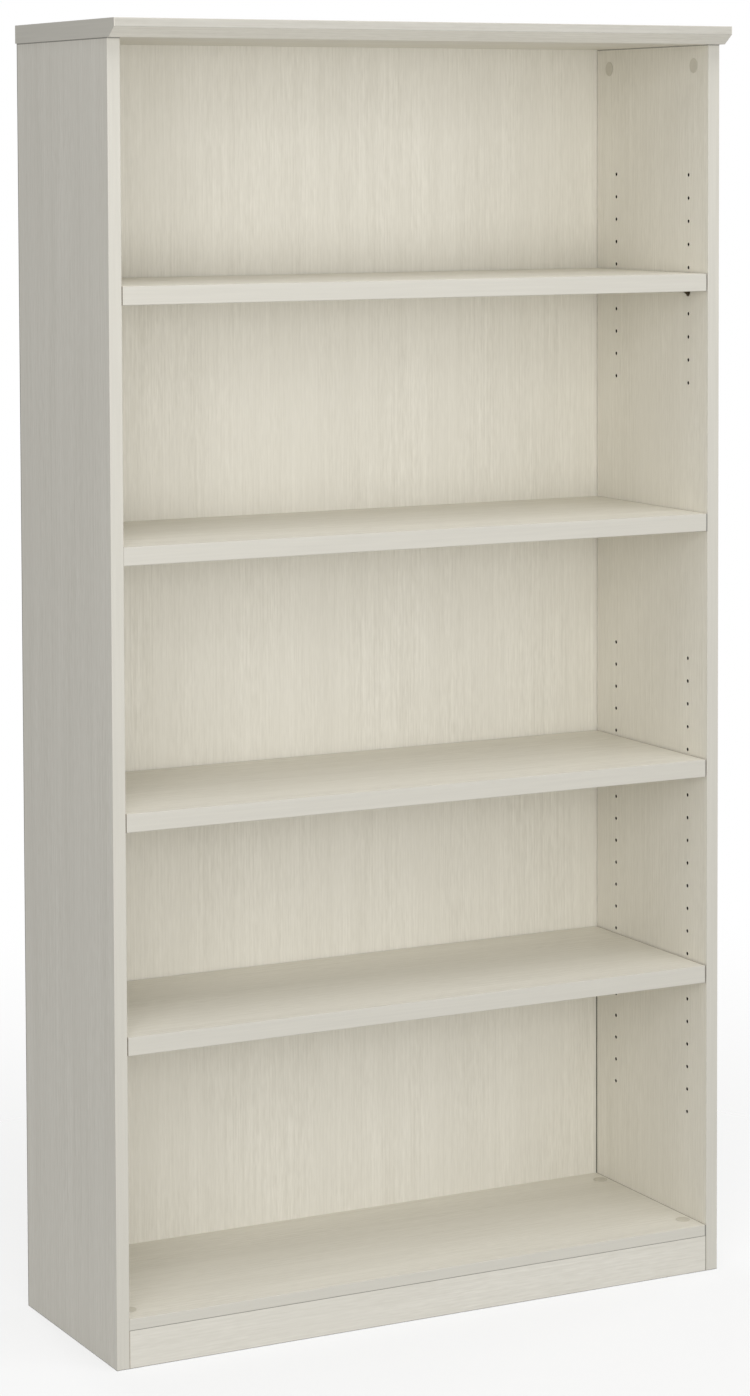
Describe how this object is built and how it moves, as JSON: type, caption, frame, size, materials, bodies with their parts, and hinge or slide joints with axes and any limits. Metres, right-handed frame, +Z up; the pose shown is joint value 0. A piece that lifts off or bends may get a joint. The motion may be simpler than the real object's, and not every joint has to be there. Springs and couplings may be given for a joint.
{
  "type": "bookcase",
  "caption": "Tall open bookcase in pale woodgrain laminate with a fixed middle shelf and loose shelves on plug-in pins that move up and down a grid of holes.",
  "frame": {"origin": "on the floor, under the middle of the whole footprint", "axes": "+Z up; -Y is the open front; +X is the right-hand side seen from the front"},
  "size_m": [0.9144, 0.3302, 1.7272],
  "materials": {
    "laminate": "off-white woodgrain laminate, satin, fine raised grain",
    "edge_band": "off-white plastic edge band, satin",
    "shelf_pin": "dark bronze plating, semi-gloss",
    "cam": "die-cast zinc, bare",
    "cam_bolt": "zinc-plated steel",
    "cam_cover": "beige plastic, matt",
    "dowel": "bare beech",
    "screw": "zinc-plated steel",
    "bracket": "zinc-plated steel"
  },
  "bodies": {
    "carcass": {"top_panel": "laminate", "top_left_end_band": "edge_band", "top_right_end_band": "edge_band", "left_side": "laminate", "right_side": "laminate", "left_side_band": "edge_band", "right_side_band": "edge_band", "fixed_shelf": "laminate", "fixed_shelf_band": "edge_band", "bottom_panel": "laminate", "bottom_band": "edge_band", "kick_board": "laminate", "back_panel": "laminate", "back_screws": "screw", "top_cams": "cam", "top_cam_bolts": "cam_bolt", "top_cam_covers": "cam_cover", "top_dowels": "dowel", "fixed_shelf_cams": "cam", "fixed_shelf_cam_bolts": "cam_bolt", "fixed_shelf_cam_covers": "cam_cover", "fixed_shelf_dowels": "dowel", "bottom_cams": "cam", "bottom_cam_bolts": "cam_bolt", "bottom_cam_covers": "cam_cover", "bottom_dowels": "dowel", "kick_dowels": "dowel", "kick_brackets": "bracket", "kick_bracket_screws": "screw"},
    "upper_shelf": {"upper_shelf": "laminate", "upper_shelf_band": "edge_band"},
    "middle_shelf": {"middle_shelf": "laminate", "middle_shelf_band": "edge_band"},
    "lower_shelf": {"lower_shelf": "laminate", "lower_shelf_band": "edge_band"},
    "upper_pin_left_front": {"upper_pin_left_front": "shelf_pin"},
    "upper_pin_left_rear": {"upper_pin_left_rear": "shelf_pin"},
    "upper_pin_right_front": {"upper_pin_right_front": "shelf_pin"},
    "upper_pin_right_rear": {"upper_pin_right_rear": "shelf_pin"},
    "middle_pin_left_front": {"middle_pin_left_front": "shelf_pin"},
    "middle_pin_left_rear": {"middle_pin_left_rear": "shelf_pin"},
    "middle_pin_right_front": {"middle_pin_right_front": "shelf_pin"},
    "middle_pin_right_rear": {"middle_pin_right_rear": "shelf_pin"},
    "lower_pin_left_front": {"lower_pin_left_front": "shelf_pin"},
    "lower_pin_left_rear": {"lower_pin_left_rear": "shelf_pin"},
    "lower_pin_right_front": {"lower_pin_right_front": "shelf_pin"},
    "lower_pin_right_rear": {"lower_pin_right_rear": "shelf_pin"}
  },
  "joints": [
    {"name": "upper_shelf_lift", "type": "slide", "parent": "carcass", "child": "upper_shelf", "axis": [0, 0, 1], "range_m": [0, 0.16]},
    {"name": "middle_shelf_lift", "type": "slide", "parent": "carcass", "child": "middle_shelf", "axis": [0, 0, 1], "range_m": [0, 0.16]},
    {"name": "lower_shelf_lift", "type": "slide", "parent": "carcass", "child": "lower_shelf", "axis": [0, 0, 1], "range_m": [0, 0.224]},
    {"name": "upper_pin_left_front_pull", "type": "slide", "parent": "carcass", "child": "upper_pin_left_front", "axis": [1, 0, 0], "range_m": [0, 0.01]},
    {"name": "upper_pin_left_rear_pull", "type": "slide", "parent": "carcass", "child": "upper_pin_left_rear", "axis": [1, 0, 0], "range_m": [0, 0.01]},
    {"name": "upper_pin_right_front_pull", "type": "slide", "parent": "carcass", "child": "upper_pin_right_front", "axis": [-1, 0, 0], "range_m": [0, 0.01]},
    {"name": "upper_pin_right_rear_pull", "type": "slide", "parent": "carcass", "child": "upper_pin_right_rear", "axis": [-1, 0, 0], "range_m": [0, 0.01]},
    {"name": "middle_pin_left_front_pull", "type": "slide", "parent": "carcass", "child": "middle_pin_left_front", "axis": [1, 0, 0], "range_m": [0, 0.01]},
    {"name": "middle_pin_left_rear_pull", "type": "slide", "parent": "carcass", "child": "middle_pin_left_rear", "axis": [1, 0, 0], "range_m": [0, 0.01]},
    {"name": "middle_pin_right_front_pull", "type": "slide", "parent": "carcass", "child": "middle_pin_right_front", "axis": [-1, 0, 0], "range_m": [0, 0.01]},
    {"name": "middle_pin_right_rear_pull", "type": "slide", "parent": "carcass", "child": "middle_pin_right_rear", "axis": [-1, 0, 0], "range_m": [0, 0.01]},
    {"name": "lower_pin_left_front_pull", "type": "slide", "parent": "carcass", "child": "lower_pin_left_front", "axis": [1, 0, 0], "range_m": [0, 0.01]},
    {"name": "lower_pin_left_rear_pull", "type": "slide", "parent": "carcass", "child": "lower_pin_left_rear", "axis": [1, 0, 0], "range_m": [0, 0.01]},
    {"name": "lower_pin_right_front_pull", "type": "slide", "parent": "carcass", "child": "lower_pin_right_front", "axis": [-1, 0, 0], "range_m": [0, 0.01]},
    {"name": "lower_pin_right_rear_pull", "type": "slide", "parent": "carcass", "child": "lower_pin_right_rear", "axis": [-1, 0, 0], "range_m": [0, 0.01]}
  ]
}
